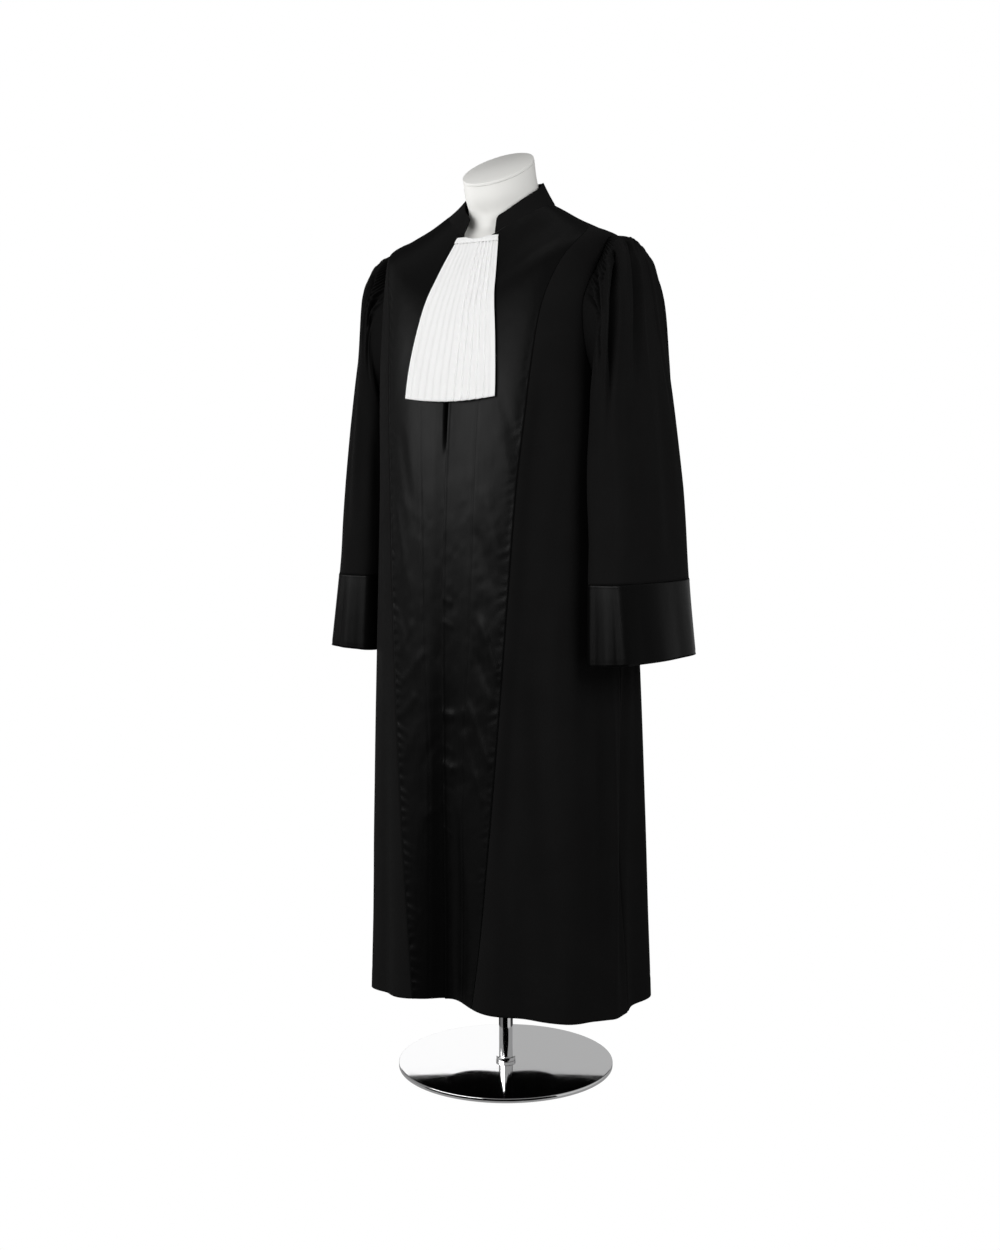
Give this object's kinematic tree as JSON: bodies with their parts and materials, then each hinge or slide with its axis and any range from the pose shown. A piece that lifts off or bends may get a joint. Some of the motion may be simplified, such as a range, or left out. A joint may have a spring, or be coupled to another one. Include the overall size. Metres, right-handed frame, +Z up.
{
  "type": "judicial robe on a dress form with pole stand and disc base",
  "caption": "Full-length black judicial robe with satin front bands and cuffs, wide gathered sleeves and a pleated white jabot, worn by a limbless dress form on a pole stand.",
  "frame": {"origin": "centre of the base disc's underside, on the floor and on the pole's axis", "axes": "+Z up; the robe faces -Y; the wearer's left side is at +X"},
  "size_m": [0.6712, 0.4586, 1.5946],
  "materials": {
    "crepe": "matt black crepe",
    "satin": "black satin with a soft sheen",
    "jabot_cotton": "crisp white pleated cotton",
    "form_white": "smooth off-white",
    "chrome": "mirror polished"
  },
  "bodies": {
    "root": {"satin_left": "satin", "satin_right": "satin", "front_left": "crepe", "front_right": "crepe", "back": "crepe", "collar": "crepe", "jabot": "jabot_cotton", "jabot_band": "jabot_cotton", "sleeve_left": "crepe", "sleeve_right": "crepe", "cuff_left": "satin", "cuff_right": "satin", "form_torso": "form_white", "form_neck_cap": "form_white", "base_disc": "chrome", "pole": "chrome"}
  },
  "joints": []
}
